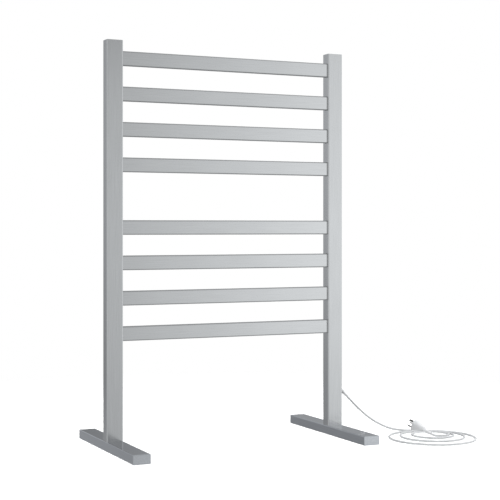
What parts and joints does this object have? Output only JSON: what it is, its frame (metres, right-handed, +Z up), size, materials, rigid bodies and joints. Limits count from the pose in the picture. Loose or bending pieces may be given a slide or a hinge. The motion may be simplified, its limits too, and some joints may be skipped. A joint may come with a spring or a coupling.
{
  "type": "towel warmer rack",
  "caption": "Free-standing electric towel rail with flat bars in two groups between rectangular posts on flat feet, and a coiled mains lead.",
  "frame": {"origin": "on the floor, midway between the posts and at the middle of their depth", "axes": "+X from the left post to the right post, +Y to the back, +Z up"},
  "size_m": [0.865, 0.4589, 0.9235],
  "materials": {
    "steel_tube": "polished stainless steel",
    "weld_steel": "dressed weld",
    "plain_steel": "machined",
    "zinc_screw": "zinc plated",
    "pad_rubber": "matt",
    "white_plastic": "fine moulded",
    "white_cord": "satin",
    "grey_silicone": "satin",
    "red_silicone": "satin",
    "brass": "machined",
    "tinned_copper": "tinned",
    "green_wire": "satin",
    "pin_metal": "nickel plated"
  },
  "bodies": {
    "root": {"left_post": "steel_tube", "right_post": "steel_tube", "left_post_cap": "steel_tube", "right_post_cap": "steel_tube", "left_welds": "weld_steel", "right_welds": "weld_steel", "left_foot": "steel_tube", "right_foot": "steel_tube", "left_foot_front_cap": "steel_tube", "left_foot_rear_cap": "steel_tube", "right_foot_front_cap": "steel_tube", "right_foot_rear_cap": "steel_tube", "left_front_pad": "pad_rubber", "left_rear_pad": "pad_rubber", "right_front_pad": "pad_rubber", "right_rear_pad": "pad_rubber", "left_base_block": "plain_steel", "right_base_block": "plain_steel", "left_foot_screws": "zinc_screw", "right_foot_screws": "zinc_screw", "cable_gland": "white_plastic", "gland_nut": "white_plastic", "inner_lead": "white_cord", "heater_joint": "grey_silicone", "heating_cable": "red_silicone", "heater_end_seal": "grey_silicone", "earth_stud": "brass", "earth_lug": "tinned_copper", "earth_nut": "brass", "earth_wire": "green_wire", "supply_cord": "white_cord", "cord_coil": "white_cord", "plug_body": "white_plastic", "plug_strain_relief": "white_plastic", "plug_live_pin": "pin_metal", "plug_neutral_pin": "pin_metal", "plug_earth_pin": "pin_metal", "bar_1": "steel_tube", "bar_2": "steel_tube", "bar_3": "steel_tube", "bar_4": "steel_tube", "bar_5": "steel_tube", "bar_6": "steel_tube", "bar_7": "steel_tube", "bar_8": "steel_tube"}
  },
  "joints": []
}
